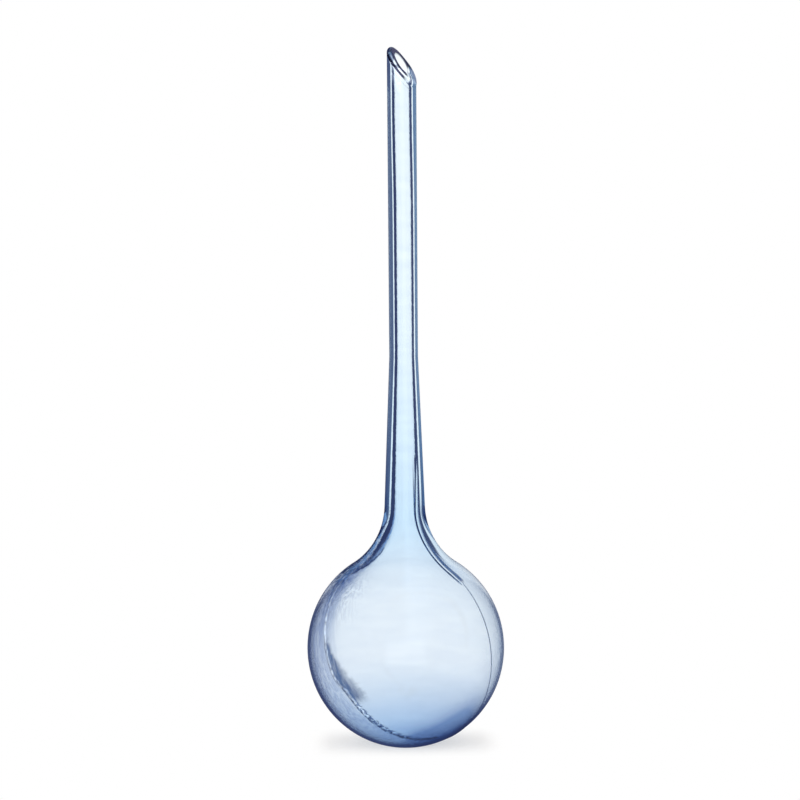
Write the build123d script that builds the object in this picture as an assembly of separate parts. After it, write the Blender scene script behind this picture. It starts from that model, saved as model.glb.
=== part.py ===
"""Watering globe: a hollow plastic bulb on a long open stem, blow-moulded in one shot.

The globe is filled through the slanted mouth, and the stem is then pushed into the soil.
It stands here as it does on a shelf, bulb down and stem up. +Z runs up along the stem,
the origin is the lowest point of the bulb, and the two mould halves part on the XZ plane.
"""
import os
from math import atan2, cos, degrees, radians, sin, sqrt, tan

from build123d import *

# Driving dimensions, in millimetres and degrees
overall_height = 280.0
bulb_diameter = 80.0
bulb_wall = 1.0
stem_diameter = 11.5
bore_diameter = 5.8

# Neck, from the foot of the straight stem down to the bulb
stem_foot_height = 158.0
neck_taper_angle = 2.3
bore_taper_angle = 1.5
shoulder_radius = 30.0
inner_shoulder_radius = 20.0

# Mouth, cut slanting and rounded over by heat
mouth_slope_angle = 55.5
mouth_turn_angle = -4.0
lip_depth = 3.6
lip_bulge = 0.15
lip_outer_round = 1.0
lip_inner_round = 0.5

# Pinch welds: rounded beads on the inside, where the soft tube was squeezed shut
neck_weld_width = 1.8
neck_weld_height = 0.6
neck_weld_rise = 30.0
neck_weld_end_height = 0.12
base_weld_width = 2.2
base_weld_height = 0.7
base_weld_span_angle = 76.0
base_weld_lean_angle = 16.0

# Parting lines: thin flash on the outside of the bulb, along the edge of the mould halves
flash_width = 0.5
flash_height = 0.15
flash_top_angle = 138.0
flash_gap = 0.5

# Sizes that follow from the ones above
bulb_radius = bulb_diameter / 2
inner_bulb_radius = bulb_radius - bulb_wall
stem_radius = stem_diameter / 2
bore_radius = bore_diameter / 2
bulb_centre = Vector(0, 0, bulb_radius)
mouth_fall = tan(radians(mouth_slope_angle))
lip_length = 2 * mouth_fall * stem_radius + lip_depth
lip_lean = lip_bulge / lip_length
rounding_drop = (mouth_fall * sqrt(1 + lip_lean**2) + sqrt(1 + mouth_fall**2)) / (1 + mouth_fall * lip_lean)
rounding_loss = lip_outer_round * (rounding_drop - 1)
rim_height_on_axis = overall_height + rounding_loss - mouth_fall * stem_radius
mouth_normal = Vector(
    mouth_fall * cos(radians(mouth_turn_angle)),
    mouth_fall * sin(radians(mouth_turn_angle)),
    1,
)


def shoulder(top_radius, taper, arc_radius, ball_radius):
    """Arc that leaves a cone and runs into the bulb, tangent to both.

    The cone starts at the foot of the stem and widens by the taper angle. The arc's centre lies
    arc_radius outside the cone's line and arc_radius + ball_radius from the bulb's centre.
    Returns the arc's upper end, its centre and its lower end.
    """
    down = Vector(sin(radians(taper)), 0, -cos(radians(taper)))
    out = Vector(cos(radians(taper)), 0, sin(radians(taper)))
    start = Vector(top_radius, 0, stem_foot_height) + out * arc_radius
    from_ball = start - bulb_centre
    along = from_ball.dot(down)
    reach = along**2 - from_ball.dot(from_ball) + (arc_radius + ball_radius) ** 2
    centre = start + down * (-along - sqrt(reach))
    upper = centre - out * arc_radius
    lower = bulb_centre + (centre - bulb_centre) * (ball_radius / (ball_radius + arc_radius))
    return upper, centre, lower


def arc_middle(first, last, centre):
    """Point halfway along the short arc from first to last about a centre."""
    to_middle = (first + last) * 0.5 - centre
    return centre + to_middle.normalized() * (first - centre).length


def outline(tube_radius, taper, arc_radius, ball_radius):
    """Edges of one side of the globe, from the pole of the bulb up to the full height of the stem."""
    upper, centre, lower = shoulder(tube_radius, taper, arc_radius, ball_radius)
    pole = bulb_centre - Vector(0, 0, ball_radius)
    side = bulb_centre + Vector(ball_radius, 0, 0)
    foot = Vector(tube_radius, 0, stem_foot_height)
    top = Vector(tube_radius, 0, rim_height_on_axis + mouth_fall * stem_radius)
    edges = [
        ThreePointArc(pole, arc_middle(pole, side, bulb_centre), side),
        ThreePointArc(side, arc_middle(side, lower, bulb_centre), lower),
        ThreePointArc(lower, arc_middle(lower, upper, centre), upper),
        Line(upper, foot),
        Line(foot, top),
    ]
    return edges, pole, top


outer_edges, outer_pole, outer_top = outline(stem_radius, neck_taper_angle, shoulder_radius, bulb_radius)
inner_edges, inner_pole, inner_top = outline(
    bore_radius, bore_taper_angle, inner_shoulder_radius, inner_bulb_radius
)


def hollow():
    """The space inside the globe as a solid. Its seam is turned out of the parting plane."""
    cap = Vector(0, 0, inner_top.Z)
    closing = [Line(inner_top, cap), Line(cap, inner_pole)]
    return revolve(make_face(Wire(inner_edges + closing)), Axis.Z, 360).rotate(Axis.Z, 90)


def mouth_plane(depth):
    """Slanted plane parallel to the rim, a depth below it measured along the stem."""
    return Plane(origin=(0, 0, rim_height_on_axis - depth), z_dir=mouth_normal)


def half_shell(turn):
    """Wall formed by one mould half: half a turn of the wall section, cut off below the lip."""
    section = make_face(
        Wire(outer_edges + [Line(outer_top, inner_top)] + inner_edges + [Line(inner_pole, outer_pole)])
    )
    wall = revolve(section, Axis.Z, 180).rotate(Axis.Z, turn)
    return split(wall, mouth_plane(lip_depth), keep=Keep.BOTTOM)


def mouth_lip():
    """Slanted ring at the open end of the stem, with both edges of its rim rounded over.

    Softened by heat, it bulges outwards a little, most at the low side of the slant.
    """
    middle = Pos(0, 0, outer_top.Z - lip_length / 2)
    tube = middle * Cone(stem_radius + lip_bulge, stem_radius, lip_length)
    tube -= middle * Cylinder(bore_radius, lip_length)
    ring = split(tube, mouth_plane(lip_depth), keep=Keep.TOP)
    ring = split(ring, mouth_plane(0), keep=Keep.BOTTOM)
    rim = ring.faces().sort_by(Axis.Z)[-1]
    rim_edges = rim.edges().sort_by(SortBy.LENGTH)
    ring = fillet(rim_edges[-1], lip_outer_round)
    rim = ring.faces().filter_by(GeomType.PLANE).sort_by(Axis.Z)[-1]
    inner_edge = rim.edges().sort_by(SortBy.LENGTH)[0]
    return fillet(inner_edge, lip_inner_round)


def neck_weld(turn):
    """Bead on the inside of the neck, from the cone down the shoulder, fading out at both ends.

    Its middle line runs in the parting plane, sunk in the wall so that only the weld's height
    stands proud on the shoulder. Above, it leans into the wall until only the end height is left.
    Below, it runs straight on, where the bulb's wall curves away from it, down to the same height.
    """
    upper, centre, lower = shoulder(bore_radius, bore_taper_angle, inner_shoulder_radius, inner_bulb_radius)
    sunk = neck_weld_width / 2 - neck_weld_height
    lean = degrees(atan2(neck_weld_height - neck_weld_end_height, neck_weld_rise))
    line_radius = inner_shoulder_radius - sunk
    first = centre + (upper - centre).normalized().rotate(Axis.Y, lean) * line_radius
    last = centre + (lower - centre).normalized() * line_radius
    climb = (first - centre).normalized().rotate(Axis.Y, 90)
    fall = (last - centre).normalized().rotate(Axis.Y, -90)
    end_radius = inner_bulb_radius + neck_weld_width / 2 - neck_weld_end_height
    run_out = sqrt(end_radius**2 - (inner_bulb_radius + sunk) ** 2)
    top = first + climb * neck_weld_rise
    tail = last + fall * run_out
    path = Wire(
        [
            Line(top, first),
            ThreePointArc(first, arc_middle(first, last, centre), last),
            Line(last, tail),
        ]
    )
    section = Plane(origin=top, z_dir=first - top) * Circle(neck_weld_width / 2)
    return (sweep(section, path=path) & hollow()).rotate(Axis.Z, turn)


def bulb_rib(ball_radius, crown_radius, width, from_angle, to_angle):
    """Rib that lies on one face of the bulb's wall in the parting plane, with a rounded crown.

    Its section, between the arc of the wall and the arc of the crown, turns about the bulb's cross
    axis, so that its foot is part of the same ball as the wall. Angles are counted from the bulb's
    lowest point, towards +X.
    """
    start = radians(from_angle)
    cross_axis = Axis(bulb_centre, (0, -1, 0))
    plane = Plane(origin=bulb_centre, x_dir=(sin(start), 0, -cos(start)), z_dir=(cos(start), 0, sin(start)))
    edge = sqrt(ball_radius**2 - (width / 2) ** 2)
    low = (edge, -width / 2)
    high = (edge, width / 2)
    foot = ThreePointArc(low, (ball_radius, 0), high)
    crown = ThreePointArc(high, (crown_radius, 0), low)
    return revolve(plane * make_face(Wire([foot, crown])), cross_axis, to_angle - from_angle)


def base_pinch_weld():
    """Bead inside the bottom of the bulb, where the tube's lower end was squeezed shut."""
    crown_radius = inner_bulb_radius - base_weld_height
    return bulb_rib(inner_bulb_radius, crown_radius, base_weld_width, base_weld_left, base_weld_right)


def parting_line(from_angle, to_angle):
    """Flash standing on the outside of the bulb between two angles from its lowest point."""
    return bulb_rib(bulb_radius, bulb_radius + flash_height, flash_width, from_angle, to_angle)


base_weld_left = -base_weld_lean_angle - base_weld_span_angle / 2
base_weld_right = -base_weld_lean_angle + base_weld_span_angle / 2
flash_gap_angle = degrees(flash_gap / bulb_radius)
nodes = {
    "front_half_shell": half_shell(180),
    "rear_half_shell": half_shell(0),
    "right_neck_weld": neck_weld(0),
    "left_neck_weld": neck_weld(180),
    "base_pinch_weld": base_pinch_weld(),
    "right_parting_line": parting_line(base_weld_right + flash_gap_angle, flash_top_angle),
    "left_parting_line": parting_line(-flash_top_angle, base_weld_left - flash_gap_angle),
    "mouth_lip": mouth_lip(),
}

os.makedirs("parts", exist_ok=True)
for name, solid in nodes.items():
    export_step(solid, f"parts/{name}.step")
    box = solid.bounding_box()
    print(f"{name}: {solid.volume:.1f} mm3, {box.size.X:.2f} x {box.size.Y:.2f} x {box.size.Z:.2f} mm")
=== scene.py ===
# %% [markdown]
# Watering globe, clear blue moulded plastic
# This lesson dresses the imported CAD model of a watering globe: a hollow ball of clear plastic on a long
# open stem. The CAD model is loaded as a fixed frame, and everything made here stands in that same frame.

# %% Load the frame
import math

import bpy
import numpy as np
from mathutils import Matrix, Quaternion, Vector


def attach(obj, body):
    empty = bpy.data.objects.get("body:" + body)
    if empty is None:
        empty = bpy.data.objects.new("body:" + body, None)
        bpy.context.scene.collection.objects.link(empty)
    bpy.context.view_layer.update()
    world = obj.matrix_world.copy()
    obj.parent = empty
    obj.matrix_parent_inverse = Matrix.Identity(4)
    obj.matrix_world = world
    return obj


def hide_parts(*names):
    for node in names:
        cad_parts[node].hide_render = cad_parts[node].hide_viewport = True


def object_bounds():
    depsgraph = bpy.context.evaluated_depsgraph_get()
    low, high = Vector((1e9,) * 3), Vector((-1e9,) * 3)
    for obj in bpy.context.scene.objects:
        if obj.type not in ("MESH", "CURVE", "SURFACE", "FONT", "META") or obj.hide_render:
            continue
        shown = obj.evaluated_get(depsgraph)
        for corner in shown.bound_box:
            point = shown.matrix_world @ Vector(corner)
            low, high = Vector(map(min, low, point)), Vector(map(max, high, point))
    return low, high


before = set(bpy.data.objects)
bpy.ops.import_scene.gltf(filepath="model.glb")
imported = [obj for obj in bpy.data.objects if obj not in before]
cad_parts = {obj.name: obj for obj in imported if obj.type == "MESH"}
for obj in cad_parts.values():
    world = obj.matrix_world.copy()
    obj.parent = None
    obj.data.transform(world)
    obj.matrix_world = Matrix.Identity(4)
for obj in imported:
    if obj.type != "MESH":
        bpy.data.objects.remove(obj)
cad_low, cad_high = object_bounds()
print("CAD box in mm:", [round(1000 * side, 2) for side in cad_high - cad_low])

# %% [markdown]
# The outline of the globe
# Turned about its axis, one outline gives the whole outside: a ball, a hollow curve that leads off it, a
# slow cone and a straight stem. A revolved curve could be drawn by hand, but worked out from the same few
# sizes as the solids, it fits them. Only the ball is a few hundredths of a millimetre smaller, so that it
# stays inside the flat faces of the solid. Sizes are in millimetres until the mesh is made.

# %% Shoulder between cone and ball
BULB_RADIUS = 39.965
BALL_CENTRE = np.array([0.0, 40.0])
STEM_RADIUS = 5.75
STEM_FOOT = 158.0
NECK_TAPER = math.radians(2.3)
SHOULDER_RADIUS = 30.0


def shoulder():
    """Arc between cone and ball, tangent to both: its upper end, centre and lower end as (radius, height).

    The arc's centre is r from the cone's line and r + R from the ball's centre.
    """
    down = np.array([math.sin(NECK_TAPER), -math.cos(NECK_TAPER)])
    out = np.array([math.cos(NECK_TAPER), math.sin(NECK_TAPER)])
    start = np.array([STEM_RADIUS, STEM_FOOT]) + out * SHOULDER_RADIUS
    from_ball = start - BALL_CENTRE
    along_cone = from_ball @ down
    reach = along_cone**2 - from_ball @ from_ball + (SHOULDER_RADIUS + BULB_RADIUS) ** 2
    centre = start - down * (along_cone + math.sqrt(reach))
    lower = BALL_CENTRE + (centre - BALL_CENTRE) * BULB_RADIUS / (BULB_RADIUS + SHOULDER_RADIUS)
    return centre - out * SHOULDER_RADIUS, centre, lower


print("shoulder from height", round(shoulder()[2][1], 2), "to", round(shoulder()[0][1], 2))

# %% Outline from the pole of the ball to the foot of the stem
def outline(base_rows, ball_rows, arc_rows, cone_rows):
    """Points (radius, height) from the ball's lowest point up to the foot of the stem.

    Ball: centre + R (sin t, -cos t). Shoulder: centre + r (cos a, sin a). Cone: a straight line.
    """
    upper, centre, lower = shoulder()
    ball_end = math.atan2(lower[0], BALL_CENTRE[1] - lower[1])
    ball_turn = np.concatenate([np.linspace(0, 1, base_rows), np.linspace(1, ball_end, ball_rows)[1:]])
    ball = BALL_CENTRE + BULB_RADIUS * np.stack([np.sin(ball_turn), -np.cos(ball_turn)], axis=1)
    first = math.atan2(lower[1] - centre[1], lower[0] - centre[0]) % (2 * math.pi)
    last = math.atan2(upper[1] - centre[1], upper[0] - centre[0]) % (2 * math.pi)
    arc_turn = np.linspace(first, last, arc_rows)[1:]
    arc = centre + SHOULDER_RADIUS * np.stack([np.cos(arc_turn), np.sin(arc_turn)], axis=1)
    climb = np.linspace(0, 1, cone_rows)[1:, None]
    cone = upper + climb * (np.array([STEM_RADIUS, STEM_FOOT]) - upper)
    return np.concatenate([ball, arc, cone])


outer = outline(base_rows=40, ball_rows=56, arc_rows=36, cone_rows=14)
print("outline rows:", len(outer))

# %% [markdown]
# The wall
# A blow-moulded wall is thin where the plastic was stretched most. In the ball it is one millimetre, and it
# grows through the shoulder to nearly four in the neck, so the hollow inside is the outline moved inwards by
# a thickness that changes smoothly with the height. Two separate arcs would meet with a jump in the bend,
# and a clear wall shows such a jump as a hard ring.

# %% Thickness of the wall
BULB_WALL = 1.0
BORE_RADIUS = 2.9
CONE_GAIN = 0.014
WALL_GROWS_FROM = 60
WALL_GROWS_TO = 97


def smooth(value, low, high):
    """0 below low, 1 above high, and 10 s^3 - 15 s^4 + 6 s^5 in between, which has no jump in its bend."""
    s = np.clip((value - low) / (high - low), 0, 1)
    return s**3 * (10 - 15 * s + 6 * s * s)


def wall_thickness(height):
    """Thickness in mm: the stem's at its foot, slowly more down the cone, and less to the ball's below."""
    cone = STEM_RADIUS - BORE_RADIUS + CONE_GAIN * (STEM_FOOT - height)
    return BULB_WALL + smooth(height, WALL_GROWS_FROM, WALL_GROWS_TO) * (cone - BULB_WALL)


# %% Hollow inside
def hollow_outline(points):
    """Outline moved inwards: each point p becomes p - t n, with n the step (dr, dz) turned to (dz, -dr)."""
    step = np.gradient(points, axis=0)
    normal = np.stack([step[:, 1], -step[:, 0]], axis=1)
    normal[0] = 0, -1
    normal[-1] = 1, 0
    normal /= np.linalg.norm(normal, axis=1, keepdims=True)
    return points - normal * wall_thickness(points[:, 1:])


inner = hollow_outline(outline(base_rows=90, ball_rows=60, arc_rows=44, cone_rows=18))
print("wall in mm at pole and stem:", round(inner[0, 1], 2), round(STEM_RADIUS - inner[-1, 0], 2))

# %% [markdown]
# Columns round the axis
# The two mould halves met in one plane through the axis, and the fine seams lie in that plane. Evenly spread
# columns would need to be very many to catch them, so the columns crowd together at the seams and are wide
# apart between them.

# %% Columns, close together at the seams
quarter = np.concatenate([
    np.linspace(0, 0.016, 7),
    np.linspace(0.016, 0.05, 7)[1:],
    np.linspace(0.05, 0.25, 12)[1:],
    np.linspace(0.25, math.pi / 2, 28)[1:],
])
half = np.concatenate([quarter, math.pi - quarter[-2::-1]])
turn = np.concatenate([half, math.pi + half[1:-1]])
print("columns:", len(turn))

# %% [markdown]
# Stem and slanted mouth
# The stem is cut off slanting, and heat has rounded both edges of the cut, so its wall ends in a smooth lip
# that stands out a little at its low side and narrows the bore by a hair. A boolean cut and a bevel would
# make uneven faces there. In any half plane through the axis, though, the cut is a straight slope, and each
# rounded edge is an arc that touches the slope and the wall, so the rows simply follow that arc, for all
# columns at once.

# %% Sizes of the mouth
SLOPE = math.tan(math.radians(55.5))
MOUTH_TURN = math.radians(-4.0)
COLLAR = 2.6
LIP_BULGE = 0.15
LIP_SWELL = 0.2
SWELL_DEPTH = 6
OUTER_ROUND = 1.0
INNER_ROUND = 0.6
HEIGHT = 1000 * cad_high.z
steepness = math.sqrt(1 + SLOPE**2)
rim_on_axis = HEIGHT - SLOPE * (STEM_RADIUS - OUTER_ROUND) + OUTER_ROUND * (steepness - 1)
print("height of the cut on the axis in mm:", round(rim_on_axis, 2))

# %% Stem, lip and bore
def rows_between(count, first, last):
    """Rows evenly from first to last, for all columns at once, without the first row itself."""
    part = np.linspace(0, 1, count + 1)[1:, None]
    return first + part * (last - first)


def stem_and_lip(turn):
    """Rows of (radius, height) up the stem, round the collar, over both edges of the lip and down the bore.

    With fall s = SLOPE cos(angle from the low side), the cut is height = rim_on_axis - s radius, and its
    normal is (s, 1). Each rounded edge is centre + r (cos a, sin a), from the wall's normal to the cut's or
    back. The outer rounding r doubles from the high side to the middle, and again to the low side.
    """
    lowness = np.cos(turn - MOUTH_TURN)
    fall = SLOPE * lowness
    length = np.sqrt(1 + fall**2)
    cut_normal = np.arctan2(1, fall)
    lip_radius = STEM_RADIUS + LIP_BULGE * (0.5 + 0.5 * lowness)
    outer_round = OUTER_ROUND * 2 ** (1 + lowness)
    outer_centre = lip_radius - outer_round
    outer_height = rim_on_axis - fall * outer_centre - outer_round * length
    inner_centre = BORE_RADIUS - LIP_SWELL + INNER_ROUND
    inner_height = rim_on_axis - fall * inner_centre - INNER_ROUND * length
    lip_foot = outer_height - COLLAR

    stem_height = rows_between(23, STEM_FOOT, lip_foot)
    stem = np.full_like(stem_height, STEM_RADIUS), stem_height
    swell = smooth(rows_between(13, 0, 1), 0.6, 0.85) * (lip_radius - STEM_RADIUS)
    collar = STEM_RADIUS + swell, rows_between(13, lip_foot, outer_height)
    over = rows_between(10, 0, cut_normal)
    outside = outer_centre + outer_round * np.cos(over), outer_height + outer_round * np.sin(over)
    edge_radius = inner_centre + INNER_ROUND * np.cos(cut_normal)
    edge_height = inner_height + INNER_ROUND * np.sin(cut_normal)
    cut = rows_between(4, outside[0][-1], edge_radius), rows_between(4, outside[1][-1], edge_height)
    over = rows_between(10, cut_normal, math.pi)
    inside = inner_centre + INNER_ROUND * np.cos(over), inner_height + INNER_ROUND * np.sin(over)
    down = 1 - np.concatenate([np.linspace(0, 0.06, 9), np.linspace(0.06, 1, 28)[1:]])[1:, None]
    bore_height = STEM_FOOT + down * (inner_height - STEM_FOOT)
    narrowed = LIP_SWELL * (1 - smooth(inner_height - bore_height, 0, SWELL_DEPTH))
    return [stem, collar, outside, cut, inside, (BORE_RADIUS - narrowed, bore_height)]


sections = stem_and_lip(turn)
print("top of the lip in mm:", round(max(section[1].max() for section in sections), 3))

# %% [markdown]
# One grid for the whole skin
# The rows run up the outside, over the lip and down the inside again, so one grid of radii and heights holds
# the whole skin. Other grids of the same shape then say where each point is: outside or inside, left or
# right, and at which angle from the ball's lowest point, which is counted as negative on the left.

# %% Grid of radii and heights
def all_rows(which):
    """Radii (which = 0) or heights (which = 1) from the outer pole over the lip to the inner pole."""
    around = np.ones(len(turn))
    up = outer[:, which, None] * around
    down = inner[-2::-1, which, None] * around
    return np.concatenate([up] + [section[which] for section in sections] + [down])


radius = all_rows(0)
height = all_rows(1)
row_starts = len(outer) + np.cumsum([len(section[0]) for section in sections])
collar_start, outside_start, cut_start, inside_start, bore_start = row_starts[:5]
print("rows and columns:", radius.shape)

# %% Where each point is
row = np.arange(len(radius))[:, None]
on_outside = row < len(outer)
on_inside = row >= bore_start
on_right = radius * np.cos(turn) > 0
on_left = radius * np.cos(turn) < 0
off_plane = radius * np.sin(turn)
ball_angle = np.degrees(np.arctan2(radius, BALL_CENTRE[1] - height)) * np.where(on_left, -1, 1)
along = np.radians(ball_angle) * BULB_RADIUS
print("points on the inside:", int(on_inside.sum()) * len(turn))

# %% [markdown]
# Seams and welds
# Where the mould halves met, a thin line of flash stands on the outside of the ball. Inside, the soft tube
# was pinched shut, which left a rounded bead down each side of the neck, a faint seam down the left of the
# ball and a rough ridge across the bottom. They are too much part of the wall to be pieces of their own, so
# the wall itself is pushed out by a height that depends on the distance from the parting plane.

# %% Ribs on the parting plane
def ripple(t):
    """Uneven wave between about -1 and 1, a sum of sines whose lengths share no common measure."""
    return (np.sin(t) + np.sin(2.3 * t + 1.7) + np.sin(4.1 * t + 0.6) + np.sin(7.7 * t + 2.9)) / 3


def between(value, low, high, fade):
    """1 between low and high, falling smoothly to 0 over the fade on each side."""
    rise = smooth(value, low - fade / 2, low + fade / 2)
    return rise * (1 - smooth(value, high - fade / 2, high + fade / 2))


def rib(half_width, crown, middle=0.0):
    """Rounded rib on the parting plane: crown sqrt(1 - ((y - middle) / half_width)^2), and 0 beyond."""
    return crown * np.sqrt(np.clip(1 - ((off_plane - middle) / half_width) ** 2, 0, None))


# %% Flash, beads, seam and base weld
flash_span = between(ball_angle, 23, 137.5, 2) + between(ball_angle, -137.5, -55, 2)
flash = on_outside * flash_span * rib(0.25, 0.15)
bead_span = on_inside * smooth(height, 68, 71) * (1 - smooth(height, 82, 124))
right_bead = on_right * bead_span * rib(0.6, 0.8)
left_bead = on_left * bead_span * rib(1.3, 0.6 + 0.2 * ripple(1.3 * height))
wander = 0.25 * ripple(along)
seam_span = on_inside * between(ball_angle, -140, -52, 4)
left_seam = seam_span * rib(0.6, 0.14 + 0.14 * ripple(2.7 * along), wander)
base_span = on_inside * between(ball_angle, -55, 22, 3)
base_weld = base_span * rib(1.3, 0.5 + 0.2 * ripple(3.1 * along), 0.35 * ripple(0.8 * along))
push = flash + right_bead + left_bead + left_seam + base_weld
print("highest weld in mm:", round(base_weld.max(), 2))

# %% Push the wall out along its normal
# The normal of a revolved outline lies in the half plane: the outline's step (dr, dz), turned to (dz, -dr).
step_radius = np.gradient(radius, axis=0)
step_height = np.gradient(height, axis=0)
step_length = np.hypot(step_radius, step_height) + 1e-9
radius = radius + push * step_height / step_length
height = height - push * step_radius / step_length
print("widest radius in mm:", round(radius.max(), 3))

# %% [markdown]
# Not quite true
# A blown piece is never quite true. On the left of the ball the seam leans towards the front by up to four
# millimetres, and in the stem the bore runs a little off centre. The first turns the columns near that seam,
# and the second moves the inside sideways. A ball turned about its axis keeps its shape, so the lean shows in
# the seam alone.

# %% Leaning seam and bore off centre
SEAM_LEAN = 0.1
BORE_OFFSET = 0.28
OFFSET_TURN = math.radians(33.4)
by_left_seam = 1 - smooth(np.abs(turn - math.pi), 0.3, 1.0)
down_the_ball = smooth(-ball_angle, 45, 65) * (1 - smooth(-ball_angle, 128, 150))
leaning_turn = turn + SEAM_LEAN * by_left_seam * down_the_ball
offset = BORE_OFFSET * on_inside * between(height, 90, 235, 50)
x = radius * np.cos(leaning_turn) + offset * math.cos(OFFSET_TURN)
y = radius * np.sin(leaning_turn) + offset * math.sin(OFFSET_TURN)
print("largest offset of the bore in mm:", round(offset.max(), 2))

# %% [markdown]
# The mesh
# Rows and columns make quads, the columns close into a ring, and the two poles are single points with a fan
# of triangles. Outside, lip and inside are one closed skin, as on the real thing, so light is bent only where
# it really passes between plastic and air.

# %% Closed mesh from the grid
MM = 0.001


def closed_skin(name, x, y, z):
    """Mesh object from a grid that starts and ends at a pole. Faces point to the left of the rows' way."""
    count, columns = x.shape
    points = np.stack([x, y, z], axis=2)
    body = points[1:-1].reshape(-1, 3)
    vertices = np.concatenate([points[:1, 0], body, points[-1:, 0]]) * MM
    ring = np.arange(columns)
    after = (ring + 1) % columns
    start = 1 + columns * np.arange(count - 3)[:, None]
    above = start + columns
    quads = np.stack([start + ring, start + after, above + after, above + ring], axis=2).reshape(-1, 4)
    last = len(vertices) - 1
    end = last - columns
    low_fan = np.stack([np.zeros_like(ring), after + 1, ring + 1], axis=1)
    high_fan = np.stack([np.full_like(ring, last), end + ring, end + after], axis=1)
    mesh = bpy.data.meshes.new(name)
    mesh.from_pydata(vertices.tolist(), [], quads.tolist() + low_fan.tolist() + high_fan.tolist())
    mesh.polygons.foreach_set("use_smooth", np.ones(len(mesh.polygons), dtype=bool))
    mesh.update()
    piece = bpy.data.objects.new(name, mesh)
    bpy.context.scene.collection.objects.link(piece)
    return piece


globe = closed_skin("globe_wall", x, y, height)
print("triangles:", sum(len(face.vertices) - 2 for face in globe.data.polygons))

# %% Which parts of the solids it stands for
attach(globe, "root")
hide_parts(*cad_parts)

# %% [markdown]
# Marks of the moulding, and painted shade
# Some marks change the plastic's colour more than its shape. They could be painted by hand on an image. Here
# each is a number on every point of the mesh, worked out from where the point is, and the material reads it
# as an attribute. Several of these numbers paint light or shade. The first is painted shade on the lip, whose
# rounded edges bend in light from the dark studio: a crescent on the near outside, a band where the rounding
# meets the cut, the tip, the far side and the inner rounding away from the low side. A thin painted dark line
# runs under the lip as well, and just below the rim the outside is dark on the near side and at the high
# side.
# Angles round the mouth are counted from its low side, in degrees.

# %% Painted shade on the edges of the lip
marks = {}
round_mouth = np.degrees(np.angle(np.exp(1j * (turn - MOUTH_TURN))))
over_edge = rows_between(cut_start - outside_start, 0, 1)
near_side = between(round_mouth, -146, -38, 18)
crescent = near_side * (1 - smooth(over_edge, 0.32, 0.46))
band_start = 0.68 + 0.14 * smooth(round_mouth, -70, -30)
cut_band = smooth(over_edge - band_start, 0, 0.12) * (1 - smooth(round_mouth, -35, -15))
tip = smooth(over_edge, -0.1, 0.1) * (1 - smooth(round_mouth, -130, -112))
far_band = smooth(over_edge, 0.05, 0.2) * smooth(round_mouth, 58, 80)
away_from_low_side = np.maximum(1 - smooth(round_mouth, -30, -8), smooth(round_mouth, 50, 75))
# Painted shade on the lip's rounded edges, one band of rows at a time.
lip_painted_shade = np.zeros_like(radius)
lip_painted_shade[collar_start] = 0.6 * between(round_mouth, -85, -10, 20)
lip_painted_shade[outside_start - 3:outside_start] = np.maximum(near_side, smooth(np.abs(round_mouth), 140, 152))
lip_painted_shade[outside_start:cut_start] = np.maximum.reduce([crescent, cut_band, tip, far_band])
lip_painted_shade[cut_start:bore_start] = away_from_low_side
marks["lip_painted_shade"] = lip_painted_shade
print("points of the dark lip:", int((lip_painted_shade > 0.5).sum()))

# %% [markdown]
# Painted shade in spots and lines
# Beside the left seam a patch widens downwards: a fold in the wall, which looks dark because it bends in
# light from the dark studio, so its darkness is painted shade. The base weld has dark specks, painted shade
# of its rough ridge. The right neck bead has a painted dark line on each side, and the flash on the right
# shows as a thin painted dark line. Each is a band of angles or heights times a band of distances from the
# seam.

# %% Painted shade: patch, specks and lines
off_seam = radius * np.sin(turn)
# Painted shade of the fold beside the left seam.
patch_width = 2.5 + 5.5 * smooth(ball_angle, -86, -58) + 1.0 * ripple(1.1 * along)
patch = on_inside * between(ball_angle, -86, -42, 9) * between(off_seam, -1.0, patch_width, 3.0)
marks["patch"] = patch * (1 - 0.3 * smooth(off_seam, 3.0, 7.0))
# Painted shade in specks along the weld's rough ridge.
marks["weld"] = base_span * (1 - smooth(np.abs(off_seam - 0.5), 1.0, 2.2))
# Painted dark lines beside the right bead and along the flash.
beside_bead = on_inside * on_right * smooth(height, 68, 69.5) * (1 - smooth(height, 100, 124))
line_end = 1.45 + 1.2 * (1 - smooth(height, 68, 86))
bead_line = np.maximum(between(off_seam, -1.5, -0.5, 0.3), between(off_seam, 0.45, line_end, 0.4))
flash_line = 0.65 * on_outside * on_right * flash_span * (1 - smooth(np.abs(off_seam), 0.25, 0.5))
marks["line"] = np.maximum(beside_bead * bead_line, flash_line)
print("points in the patch:", int((marks["patch"] > 0.5).sum()))

# %% [markdown]
# Milky plastic and painted highlights
# A faint glow stands for light that the plastic gives back. Along the left seam and the crest of the weld it
# is partly milky, squeezed plastic and partly painted highlight; in a light band on the lip's crest, at the
# lip's low side and in the top of the bore behind it, it is painted highlight. Numbers up to 1 stand for glow
# in flecks. Of a number above 1, the part over 1 stands for even glow.

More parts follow.
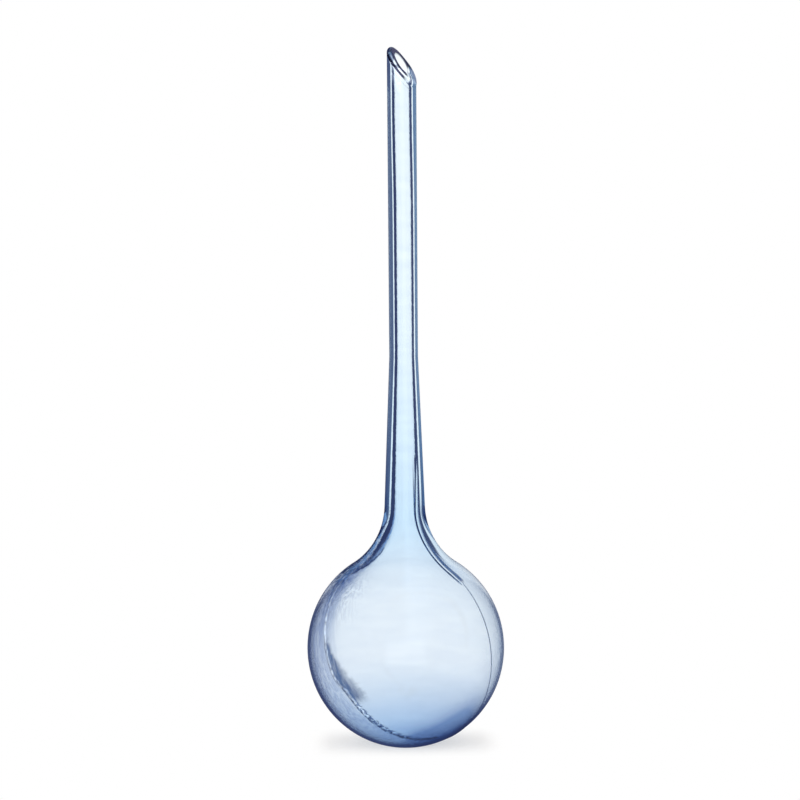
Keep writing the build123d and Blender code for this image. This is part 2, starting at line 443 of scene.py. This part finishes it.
# %% Glow of milk and painted highlights on seam, weld, lip and bore
# Glow for milky plastic and painted highlights.
by_seam_line = 1 - smooth(np.abs(off_seam - wander), 0.35, 0.9)
along_seam = on_inside * between(ball_angle, -140, -50, 4) * by_seam_line
weld_crest = base_span * between(ball_angle, -56, -30, 8) * (1 - smooth(np.abs(off_seam), 0.2, 0.7))
milk_and_highlight = np.maximum(along_seam, weld_crest)
light_band = 2.0 * between(over_edge, 0.44, 0.68, 0.12) * between(round_mouth, -110, -35, 12)
low_side = 1.5 * smooth(over_edge, 0.1, 0.3) * between(round_mouth, -25, 60, 20)
milk_and_highlight[outside_start:cut_start] = np.maximum(light_band, low_side)
milk_and_highlight[cut_start:inside_start] = 1.5 * between(round_mouth, 20, 60, 16)
bore_depth = height[bore_start] - height[bore_start:]
bore_top = 1.7 * (1 - smooth(bore_depth, 3, 9)) * between(round_mouth, -160, -60, 30)
milk_and_highlight[bore_start:] = np.maximum(milk_and_highlight[bore_start:], bore_top)
marks["milk_and_highlight"] = milk_and_highlight
print("points of milky plastic:", int((milk_and_highlight > 0.5).sum()))

# %% [markdown]
# Flow marks, the shaded left side and the shaded low side
# The left side is darker, painted shade on the side where the studio gives less light, broken into long
# streaks like smears of plastic that cooled while it still flowed. Fine strokes on the inside there are flow
# marks, and the inside of neck and stem is slightly wavy. Low on the right, painted shade turns the plastic a
# deeper blue.

# %% Shaded left side, strokes, waves and the shaded low side
round_axis = np.degrees(turn)
# Painted shade on the left of shoulder and ball and beside the left seam, not on the seam itself.
left_shading_depth = 0.5 + 0.9 * between(height, 69, 110, 12)
left_shading = left_shading_depth * (1 - smooth(np.abs(round_axis - 214), 20, 48)) * (1 - smooth(height, 84, 106))
close_to_seam = 1 - smooth(np.abs(off_seam - 1), 2.0, 11.0)
beside_seam = on_inside * between(ball_angle, -134, -52, 12) * close_to_seam
on_seam = on_inside * on_left * (1 - smooth(np.abs(off_seam), 0.3, 0.9))
marks["left_shade_and_smears"] = np.maximum(left_shading, beside_seam) * (1 - on_seam)
marks["strokes"] = 0.9 * on_inside * between(round_axis, 150, 184, 28) * between(height, 40, 66, 24)
left_shoulder = (1 - smooth(np.abs(round_axis - 205), 40, 70)) * between(height, 76, 125, 14)
neck_and_stem = smooth(height, 100, 130) * (1 - smooth(height, 262, 268))
marks["rough"] = 0.3 * on_inside * np.maximum(left_shoulder, neck_and_stem)
# Painted shade low on the right, deeper blue towards the floor.
towards_right = 0.5 + 0.5 * np.cos(turn - math.radians(16))
marks["low_right_shade"] = (1 - smooth(height, 2, 25)) * towards_right**2
print("marks:", sorted(marks))

# %% Numbers on the points
def keep_on_points(piece, name, values):
    """Store a grid of values on the mesh's points, one value for each pole."""
    in_order = np.concatenate([values[:1, 0], values[1:-1].ravel(), values[-1:, 0]])
    stored = piece.data.attributes.new(name, "FLOAT", "POINT")
    stored.data.foreach_set("value", in_order.astype(np.float32))


for mark, values in marks.items():
    keep_on_points(globe, mark, values)
print("attributes on the points:", len(marks))

# %% [markdown]
# Building with nodes
# Materials are made of nodes that hand values on to each other. A few short helpers keep the lines readable:
# each adds one node, or a small chain of them, and gives back the output that the next node takes.

# %% Helpers for nodes
def add_node(tree, kind, inputs=None, **settings):
    """New node with its settings and inputs. An input is a plain value or another node's output."""
    made = tree.nodes.new(kind)
    for name, value in settings.items():
        setattr(made, name, value)
    for socket, value in (inputs or {}).items():
        if isinstance(value, bpy.types.NodeSocket):
            tree.links.new(value, made.inputs[socket])
        else:
            made.inputs[socket].default_value = value
    return made


def empty_tree(holder):
    """The node tree of a material or world, with no nodes in it."""
    holder.use_nodes = True
    holder.node_tree.nodes.clear()
    return holder.node_tree


def attribute(tree, name):
    """Output of a number kept on the points."""
    return add_node(tree, "ShaderNodeAttribute", attribute_name=name).outputs["Fac"]


# %% Helpers for numbers and colours
def combine(tree, first, second, operation):
    """Output of a sum on two numbers, such as MULTIPLY, or of a comparison, which is 1 where it holds."""
    return add_node(tree, "ShaderNodeMath", {0: first, 1: second}, operation=operation).outputs[0]


def scale_and_shift(tree, value, scale, shift):
    """Output of value times scale plus shift."""
    numbers = {0: value, 1: scale, 2: shift}
    return add_node(tree, "ShaderNodeMath", numbers, operation="MULTIPLY_ADD").outputs[0]


def size_of(tree, value):
    """Output of a number without its sign."""
    return add_node(tree, "ShaderNodeMath", {0: value}, operation="ABSOLUTE").outputs[0]


def part_along(tree, vector, way):
    """Output of how far a vector reaches along a direction."""
    made = add_node(tree, "ShaderNodeVectorMath", {0: vector, 1: way}, operation="DOT_PRODUCT")
    return made.outputs["Value"]


def blend_colour(tree, factor, first, second):
    """Output of a colour mix: the first colour at factor 0, the second at 1."""
    made = add_node(tree, "ShaderNodeMix", {"Factor": factor, "A": first, "B": second}, data_type="RGBA")
    return made.outputs["Result"]


def smooth_range(tree, value, low, high):
    """Output that goes smoothly from 0 at low to 1 at high. High may be the smaller number."""
    ends = {"Value": value, "From Min": low, "From Max": high}
    return add_node(tree, "ShaderNodeMapRange", ends, interpolation_type="SMOOTHSTEP").outputs[0]


def noise(tree, place, scale, low, high):
    """Output of smoke-like noise, 0 where it is under low and 1 where it is over high."""
    stretched = add_node(tree, "ShaderNodeMapping", {"Vector": place, "Scale": scale}).outputs[0]
    smoke = add_node(tree, "ShaderNodeTexNoise", {"Vector": stretched, "Scale": 1.0, "Detail": 4.0})
    return smooth_range(tree, smoke.outputs["Fac"], low, high)


# %% [markdown]
# The moulding's marks and painted light as a node group
# The numbers on the points say where a mark is, and noise gives it its grain: long streaks in the painted
# shade of the left side, fine lines in the strokes, specks in the weld's painted shade and flecks in the glow
# of milk and highlights. All of this goes into one group, which hands out plain masks and one height for the
# bump, and the material gives each mask its colour.

# %% Masks of the marks
POINT_MARKS = ("left_shade_and_smears", "patch", "low_right_shade", "rough", "weld", "line", "milk_and_highlight", "strokes")
MASKS = ("side", "low", "spot", "cloud", "relief", "glow_mask")


def add_sockets(group, way, kind, names):
    """Named inputs or outputs of a node group, in order."""
    for name in names:
        group.interface.new_socket(name, in_out=way, socket_type=kind)


def marks_and_painted_light():
    """Node group: masks of marks, painted shade and glow, from a place on the globe and its points' numbers.
    """
    group = bpy.data.node_groups.new("marks_and_painted_light", "ShaderNodeTree")
    add_sockets(group, "INPUT", "NodeSocketVector", ["place"])
    add_sockets(group, "INPUT", "NodeSocketFloat", POINT_MARKS)
    add_sockets(group, "OUTPUT", "NodeSocketFloat", MASKS)
    given = add_node(group, "NodeGroupInput").outputs
    place = given["place"]
    streak = scale_and_shift(group, noise(group, place, (700, 700, 36), 0.36, 0.62), 0.6, 0.55)
    smeared = combine(group, given["left_shade_and_smears"], streak, "MULTIPLY")
    stroke = noise(group, place, (1300, 1300, 60), 0.42, 0.66)
    stroked = combine(group, given["strokes"], stroke, "MULTIPLY")
    grain = scale_and_shift(group, noise(group, place, (110, 750, 110), 0.3, 0.6), 0.2, 0.82)
    grained = combine(group, given["patch"], grain, "MULTIPLY")
    speck = noise(group, place, (700, 700, 700), 0.46, 0.52)
    speckled = combine(group, given["weld"], speck, "MULTIPLY")
    dark = combine(group, grained, speckled, "MAXIMUM")
    in_flecks = combine(group, given["milk_and_highlight"], 1.001, "LESS_THAN")
    fleck = combine(group, noise(group, place, (520, 520, 520), 0.35, 0.58), in_flecks, "MULTIPLY")
    flecked = combine(group, given["milk_and_highlight"], fleck, "MULTIPLY")
    even = combine(group, given["milk_and_highlight"], 1.0, "SUBTRACT")
    wave = noise(group, place, (320, 320, 420), 0.25, 0.75)
    waved = combine(group, given["rough"], wave, "MULTIPLY")
    add_node(group, "NodeGroupOutput", {
        "side": combine(group, smeared, stroked, "MAXIMUM"),
        "low": combine(group, given["low_right_shade"], 2.3, "MULTIPLY"),
        "spot": combine(group, dark, given["line"], "MAXIMUM"),
        "cloud": noise(group, place, (60, 60, 260), 0.38, 0.62),
        "relief": combine(group, waved, stroked, "MAXIMUM"),
        "glow_mask": combine(group, flecked, even, "MAXIMUM"),
    })
    return group


marks_group = marks_and_painted_light()
print("masks:", ", ".join(MASKS))

# %% [markdown]
# Clear blue plastic
# The plastic is clear, with a light blue tint that shows where light runs a long way through it. A glass-like
# Principled shader bends the light, and a Volume Absorption inside takes out red first, so thick places and
# long paths turn blue by themselves. A tint by height is added, which fades up the stem. At the foot of the
# ball it turns deep blue within a centimetre of the floor: painted shade where the globe sits on the floor.

# %% Tint by height
plastic = bpy.data.materials.new("clear_blue_plastic")
tree = empty_tree(plastic)
coords = add_node(tree, "ShaderNodeTexCoord")
place = coords.outputs["Object"]
place_parts = add_node(tree, "ShaderNodeSeparateXYZ", {0: place})
place_height = place_parts.outputs["Z"]
part_way = add_node(tree, "ShaderNodeMapRange", {"Value": place_height, "From Min": 0.0, "From Max": 0.28})
tint = add_node(tree, "ShaderNodeValToRGB", {"Fac": part_way.outputs[0]})
# The stops near 0 paint shade at the foot of the ball, where it sits on the floor.
tint_stops = {
    0.0: (0.46, 0.63, 0.85),
    0.012: (0.70, 0.82, 0.94),
    0.04: (0.835, 0.895, 0.945),
    0.09: (0.89, 0.92, 0.955),
    0.16: (0.90, 0.93, 0.955),
    0.25: (0.905, 0.94, 0.97),
    0.33: (0.86, 0.93, 0.985),
    0.45: (0.92, 0.965, 1.0),
    0.60: (0.97, 0.99, 1.0),
    0.75: (0.99, 1.0, 1.0),
}
for position, tint_colour in tint_stops.items():
    stop = tint.color_ramp.elements.new(position)
    stop.color = (*tint_colour, 1.0)
tint.color_ramp.elements.remove(tint.color_ramp.elements[0])
tint.color_ramp.elements.remove(tint.color_ramp.elements[-1])
print("stops in the tint:", len(tint.color_ramp.elements))

# %% [markdown]
# Colour of the marks and painted shade
# The painted shade of the left side, of its limb and of the low right grows mostly with the slant that Layer
# Weight gives: hardly seen face on and dark where light crosses the wall slanting, as a smear in clear
# plastic is, because the way through it is longer there. Each mask is blended in with its own range of it;
# the patch, specks and lines get their painted shade without it. Light crosses a lip edge going in and coming
# out, and only the way in gets the lip's painted shade, or it would count twice.

# %% Blend the marks and painted shade into the tint
# Colours of painted shade: on the left side and low right, at the left limb, in the patch, specks and lines,
# and on the lip's edges. CLOUD is the plastic's own uneven tone.
CLOUD = (0.62, 0.70, 0.82, 1.0)
SHADE_BLUE = (0.12, 0.21, 0.44, 1.0)
SHADE_AND_SMEAR_BLUE = (0.05, 0.14, 0.42, 1.0)
LIMB_SHADE = (0.002, 0.005, 0.025, 1.0)
SPOT_SHADE_BLUE = (0.010, 0.030, 0.105, 1.0)
LIP_SHADE = (0.005, 0.004, 0.014, 1.0)
point_numbers = {name: attribute(tree, name) for name in POINT_MARKS}
mask = add_node(tree, "ShaderNodeGroup", {"place": place, **point_numbers}, node_tree=marks_group).outputs
slant = add_node(tree, "ShaderNodeLayerWeight", {"Blend": 0.5}).outputs["Facing"]
cloudy = combine(tree, mask["cloud"], 0.09, "MULTIPLY")
colour = blend_colour(tree, cloudy, tint.outputs["Color"], CLOUD)
low_slant = scale_and_shift(tree, smooth_range(tree, slant, 0.26, 0.62), 0.56, 0.14)
low_part = combine(tree, mask["low"], low_slant, "MULTIPLY")
faint_part = combine(tree, combine(tree, mask["side"], 0.18, "MULTIPLY"), low_part, "MAXIMUM")
colour = blend_colour(tree, faint_part, colour, SHADE_BLUE)
weak_side = combine(tree, mask["side"], 0.6, "MINIMUM")
weak_part = combine(tree, weak_side, smooth_range(tree, slant, 0.22, 0.54), "MULTIPLY")
full_part = combine(tree, mask["side"], smooth_range(tree, slant, 0.38, 0.68), "MULTIPLY")
colour = blend_colour(tree, combine(tree, full_part, weak_part, "MAXIMUM"), colour, SHADE_AND_SMEAR_BLUE)
strong_side = smooth_range(tree, mask["side"], 0.5, 0.95)
limb_part = combine(tree, strong_side, smooth_range(tree, slant, 0.58, 0.82), "MULTIPLY")
colour = blend_colour(tree, limb_part, colour, LIMB_SHADE)
colour = blend_colour(tree, mask["spot"], colour, SPOT_SHADE_BLUE)
# The lip's painted shade counts only where light enters the plastic.
leaving = add_node(tree, "ShaderNodeNewGeometry").outputs["Backfacing"]
entering = combine(tree, 1.0, leaving, "SUBTRACT")
edge = combine(tree, attribute(tree, "lip_painted_shade"), entering, "MULTIPLY")
colour = blend_colour(tree, edge, colour, LIP_SHADE)
print("nodes so far:", len(tree.nodes))

# %% [markdown]
# Light held in the wall
# Light that has been mirrored twice between the faces of the wall would go on for dozens of turns, far more
# than a render follows, and would come out black. So it ends there, in a glow of painted light that stands
# for
# such light: dark blue at the base, in the shoulder and near the beads, lighter round the middle of the ball,
# and palest on the half of the globe that the bore leans towards, a painted lighter side.

# %% Colour of the light held in the wall
# Colours of the glow of painted light held in the wall.
HELD_LOW = (0.05, 0.085, 0.21, 1.0)
HELD_MIDDLE = (0.20, 0.26, 0.42, 1.0)
HELD_LIT_SIDE = (0.55, 0.65, 0.83, 1.0)
HELD_AT_BEADS = (0.035, 0.045, 0.12, 1.0)
above_base = smooth_range(tree, place_height, 0.016, 0.036)
in_middle = combine(tree, above_base, smooth_range(tree, place_height, 0.064, 0.050), "MULTIPLY")
# The palest half is painted light, on the side that the bore leans towards.
lit_way = (math.cos(OFFSET_TURN), math.sin(OFFSET_TURN), 0)
lit_side = smooth_range(tree, part_along(tree, place, lit_way), -0.001, 0.001)
lit_half = combine(tree, lit_side, above_base, "MULTIPLY")
beside_plane = smooth_range(tree, size_of(tree, place_parts.outputs["Y"]), 0.0015, 0.004)
clear_of_beads = combine(tree, beside_plane, smooth_range(tree, place_height, 0.14, 0.16), "MAXIMUM")
held_colour = blend_colour(tree, in_middle, HELD_LOW, HELD_MIDDLE)
held_colour = blend_colour(tree, lit_half, held_colour, HELD_LIT_SIDE)
held_colour = blend_colour(tree, clear_of_beads, HELD_AT_BEADS, held_colour)
held = add_node(tree, "ShaderNodeEmission", {"Color": held_colour})
print("nodes so far:", len(tree.nodes))

# %% [markdown]
# Putting the plastic together
# The shader is smooth and fully clear, with a faint glow where the milk and painted highlights are: partly
# milky plastic, which scatters the studio's light towards every side, and partly painted highlight. Strokes
# and waves bend the light through a bump. Shadows pass through as through smoked glass, so that the floor
# shows a soft grey shadow without the time that caustics take.

# %% Plastic material
# Glow colour for milky plastic and painted highlights.
MILK_AND_HIGHLIGHT_GLOW = (0.33, 0.37, 0.42, 1.0)
SHADOW_GREY = (0.50, 0.50, 0.50, 1.0)
bump = add_node(tree, "ShaderNodeBump", {"Height": mask["relief"], "Distance": 0.00012})
clear = add_node(tree, "ShaderNodeBsdfPrincipled", {
    "Base Color": colour,
    "Normal": bump.outputs[0],
    "Roughness": 0.0,
    "IOR": 1.5,
    "Transmission Weight": 1.0,
    "Emission Color": blend_colour(tree, mask["glow_mask"], (0.0, 0.0, 0.0, 1.0), MILK_AND_HIGHLIGHT_GLOW),
    "Emission Strength": 1.0,
})
absorb = add_node(tree, "ShaderNodeVolumeAbsorption", {"Color": (0.35, 0.72, 0.92, 1.0), "Density": 45.0})
smoked = add_node(tree, "ShaderNodeBsdfTransparent", {"Color": SHADOW_GREY})
ray = add_node(tree, "ShaderNodeLightPath")
often = combine(tree, ray.outputs["Glossy Depth"], 1.5, "GREATER_THAN")
skin = add_node(tree, "ShaderNodeMixShader", {0: often, 1: clear.outputs["BSDF"], 2: held.outputs[0]})
in_shadow = ray.outputs["Is Shadow Ray"]
surface = add_node(tree, "ShaderNodeMixShader", {0: in_shadow, 1: skin.outputs[0], 2: smoked.outputs["BSDF"]})
add_node(tree, "ShaderNodeOutputMaterial", {"Surface": surface.outputs[0], "Volume": absorb.outputs[0]})
globe.data.materials.append(plastic)
print("material:", plastic.name)

# %% [markdown]
# Studio round the globe
# A clear object shows what stands round it. Straight through, it shows the white background, and at its
# edges the light is bent so far that it comes from the side, where a studio is dark. So the world is white to
# the camera and to light that passes straight through both walls. Light that ran along inside one wall sees a
# ring with white panels before and behind the globe and dark gaps at its sides. Panels could be modelled, but
# a colour by direction does the same with less.

# %% Ring of panels
VIEW_TURN = math.radians(33.36)
WHITE = (1.0, 1.0, 1.0, 1.0)
BRIGHT = (1.17, 1.17, 1.17, 1.0)
RIGHT_GAP = (0.10, 0.125, 0.23, 1.0)
LEFT_GAP = (0.14, 0.22, 0.37, 1.0)
DEEP_GAP = (0.045, 0.058, 0.14, 1.0)


def panel_ring():
    """Node group: white panels and dark gaps by direction, from the sine of the turn away from the view."""
    group = bpy.data.node_groups.new("panel_ring", "ShaderNodeTree")
    add_sockets(group, "INPUT", "NodeSocketVector", ["direction"])
    add_sockets(group, "INPUT", "NodeSocketFloat", ["mirrors"])
    add_sockets(group, "OUTPUT", "NodeSocketColor", ["colour"])
    given = add_node(group, "NodeGroupInput").outputs
    rotation = {"Vector": given["direction"], "Rotation": (0, 0, -VIEW_TURN)}
    turned = add_node(group, "ShaderNodeMapping", rotation).outputs[0]
    level = add_node(group, "ShaderNodeVectorMath", {0: turned, 1: (1, 1, 0)}, operation="MULTIPLY")
    unit = add_node(group, "ShaderNodeVectorMath", {0: level.outputs[0]}, operation="NORMALIZE")
    rightwards = add_node(group, "ShaderNodeSeparateXYZ", {0: unit.outputs[0]}).outputs["X"]
    side_gap = blend_colour(group, smooth_range(group, rightwards, -0.3, 0.3), LEFT_GAP, RIGHT_GAP)
    gap = blend_colour(group, given["mirrors"], side_gap, DEEP_GAP)
    panel = smooth_range(group, size_of(group, rightwards), 0.47, 0.32)
    add_node(group, "NodeGroupOutput", {"colour": blend_colour(group, panel, gap, BRIGHT)})
    return group


ring = panel_ring()
print("node group:", ring.name)

# %% [markdown]
# What light finds, by the way it took
# Light Path counts how often light has crossed the plastic's skin and how often it was mirrored. Two
# crossings with at most one mirroring mean that it ran along inside one wall. Light that was mirrored but
# never went in shows the dim room on the plastic's gloss. The rest was trapped in the wall, which makes it
# dark, or kept in the hollow of the ball for a while, which leaves it a soft light blue.

# %% Colour by the way of the light
TRAPPED = (0.13, 0.16, 0.30, 1.0)
HOLLOW = (0.58, 0.70, 0.88, 1.0)


def ring_colour(tree, ray, direction):
    """Output of the ring of panels in a direction, darker in its gaps for mirrored light."""
    given = {"direction": direction, "mirrors": ray.outputs["Glossy Depth"]}
    return add_node(tree, "ShaderNodeGroup", given, node_tree=ring).outputs["colour"]


def by_way_of_light(tree, ray, straight, along_wall, reflected):
    """Output of the colour that light finds: one for each way it can have taken."""
    passes = ray.outputs["Transmission Depth"]
    mirrors = ray.outputs["Glossy Depth"]
    twice = combine(tree, passes, 2.0, "COMPARE")
    in_wall = combine(tree, twice, combine(tree, mirrors, 1.5, "LESS_THAN"), "MULTIPLY")
    mirrored = combine(tree, combine(tree, mirrors, 0.5, "GREATER_THAN"), in_wall, "SUBTRACT")
    kept = blend_colour(tree, combine(tree, passes, 2.5, "GREATER_THAN"), TRAPPED, HOLLOW)
    turned_back = blend_colour(tree, combine(tree, passes, 0.5, "GREATER_THAN"), reflected, kept)
    return blend_colour(tree, mirrored, blend_colour(tree, in_wall, straight, along_wall), turned_back)


# %% [markdown]
# Floor
# The floor is white paper. Close to the globe it is matt and takes the soft shadow, and further off it is
# plainly white, so that no edge shows against the background. Light that came straight through the plastic
# finds a painted bluish shadow under the globe and white beyond. Light that ran along the wall finds it dark
# near the globe and, further off, coloured like the ring of panels.

# %% Floor mesh
FLOOR_REACH = 3.0
corners = [(-FLOOR_REACH, -FLOOR_REACH, 0), (FLOOR_REACH, -FLOOR_REACH, 0)]
corners += [(FLOOR_REACH, FLOOR_REACH, 0), (-FLOOR_REACH, FLOOR_REACH, 0)]
floor_mesh = bpy.data.meshes.new("floor")
floor_mesh.from_pydata(corners, [], [(0, 1, 2, 3)])
floor = bpy.data.objects.new("floor", floor_mesh)
bpy.context.scene.collection.objects.link(floor)
print("floor in m:", round(2 * FLOOR_REACH, 1))

# %% Paper, as bent light finds it
SHADE = (0.07, 0.095, 0.20, 1.0)
DIM = (0.03, 0.036, 0.10, 1.0)
# Painted bluish shadow under the globe, found only by light through the plastic.
BLUE_SHADOW_UNDER_GLOBE = (0.78, 0.88, 1.02, 1.0)
paper = bpy.data.materials.new("floor_paper")
tree = empty_tree(paper)
ray = add_node(tree, "ShaderNodeLightPath")
place = add_node(tree, "ShaderNodeTexCoord").outputs["Object"]
distance = add_node(tree, "ShaderNodeVectorMath", {0: place}, operation="LENGTH").outputs["Value"]
straight = blend_colour(tree, smooth_range(tree, distance, 0.0, 0.12), BLUE_SHADOW_UNDER_GLOBE, BRIGHT)
far = smooth_range(tree, distance, 0.25, 0.6)
along_wall = blend_colour(tree, far, SHADE, ring_colour(tree, ray, place))
bent = add_node(tree, "ShaderNodeEmission", {"Color": by_way_of_light(tree, ray, straight, along_wall, DIM)})
print("nodes so far:", len(tree.nodes))

# %% Paper, as the camera sees it
turned = add_node(tree, "ShaderNodeMapping", {"Vector": place, "Rotation": (0, 0, -VIEW_TURN)})
away = add_node(tree, "ShaderNodeVectorMath", {0: turned.outputs[0]}, operation="ABSOLUTE")
away_parts = add_node(tree, "ShaderNodeSeparateXYZ", {0: away.outputs[0]})
near_across = smooth_range(tree, away_parts.outputs["X"], 0.042, 0.029)
near_in_depth = smooth_range(tree, away_parts.outputs["Y"], 0.0185, 0.001)
near = combine(tree, near_across, near_in_depth, "MULTIPLY")
matt = add_node(tree, "ShaderNodeBsdfDiffuse", {"Color": (0.52, 0.50, 0.48, 1.0)})
glow = add_node(tree, "ShaderNodeEmission", {"Strength": 0.47})
lit = add_node(tree, "ShaderNodeAddShader", {0: matt.outputs[0], 1: glow.outputs[0]})
white = add_node(tree, "ShaderNodeEmission", {"Strength": 1.0})
direct = add_node(tree, "ShaderNodeMixShader", {0: near, 1: white.outputs[0], 2: lit.outputs[0]})
by_plastic = combine(tree, ray.outputs["Is Glossy Ray"], ray.outputs["Is Transmission Ray"], "MAXIMUM")
surface = add_node(tree, "ShaderNodeMixShader", {0: by_plastic, 1: direct.outputs[0], 2: bent.outputs[0]})
add_node(tree, "ShaderNodeOutputMaterial", {"Surface": surface.outputs[0]})
floor_mesh.materials.append(paper)
print("material:", paper.name)

# %% [markdown]
# World and lamp
# The world is the studio beyond the floor: the ring of panels, shade overhead, and a patch of pale sky up to
# the right that only the gloss shows. One soft lamp above makes the shadow. It is hidden from gloss and clear
# plastic, which would show it as a bright square.

# %% World
SKY = (0.55, 0.68, 0.86, 1.0)
world = bpy.data.worlds.new("studio")
bpy.context.scene.world = world
tree = empty_tree(world)
ray = add_node(tree, "ShaderNodeLightPath")
direction = add_node(tree, "ShaderNodeTexCoord").outputs["Generated"]
upwards = add_node(tree, "ShaderNodeSeparateXYZ", {0: direction}).outputs["Z"]
overhead = smooth_range(tree, upwards, 0.3, 0.5)
along_wall = blend_colour(tree, overhead, ring_colour(tree, ray, direction), SHADE)
rightwards = part_along(tree, direction, (math.cos(VIEW_TURN), math.sin(VIEW_TURN), 0))
from_middle = smooth_range(tree, rightwards, -0.12, 0.12)
to_right = combine(tree, from_middle, smooth_range(tree, rightwards, 0.65, 0.1), "MULTIPLY")
sky_patch = combine(tree, to_right, smooth_range(tree, upwards, 0.15, 0.45), "MULTIPLY")
reflected = blend_colour(tree, sky_patch, DIM, SKY)
found = by_way_of_light(tree, ray, BRIGHT, along_wall, reflected)
seen = blend_colour(tree, ray.outputs["Is Camera Ray"], found, WHITE)
background = add_node(tree, "ShaderNodeBackground", {"Color": seen})
add_node(tree, "ShaderNodeOutputWorld", {"Surface": background.outputs[0]})
print("world:", world.name)

# %% Lamp
lamp_data = bpy.data.lights.new("soft_box", "AREA")
lamp_data.energy = 5.6
lamp_data.size = 0.5
lamp = bpy.data.objects.new("soft_box", lamp_data)
lamp.location = (0, 0, 1.2)
lamp.visible_glossy = False
lamp.visible_transmission = False
bpy.context.scene.collection.objects.link(lamp)
print("lamp at height in m:", round(lamp.location.z, 2))

# %% [markdown]
# Camera
# The camera stands where the outline of bulb, stem and mouth in the photograph puts it: less than half a
# metre away, a little above the middle of the globe, and rolled by less than half a degree.

# %% Camera at the photograph's place
FOCAL_PIXELS = 1197.87
FRAME_PIXELS = 800
SHIFT_PIXELS = -3.95
ROLL = -0.0073
AIM = Vector((0, 0, 0.1406))
camera_data = bpy.data.cameras.new("camera")
camera_data.sensor_width = 36.0
camera_data.lens = FOCAL_PIXELS / FRAME_PIXELS * camera_data.sensor_width
camera_data.shift_x = SHIFT_PIXELS / FRAME_PIXELS
camera_data.clip_start = 0.01
camera = bpy.data.objects.new("camera", camera_data)
camera.location = (0.2634, -0.4000, 0.1792)
look = (AIM - camera.location).to_track_quat("-Z", "Y")
camera.rotation_mode = "QUATERNION"
camera.rotation_quaternion = look @ Quaternion((0, 0, 1), ROLL)
bpy.context.scene.collection.objects.link(camera)
bpy.context.scene.camera = camera
bpy.context.scene.view_settings.view_transform = "Standard"
print("lens in mm:", round(camera_data.lens, 2))
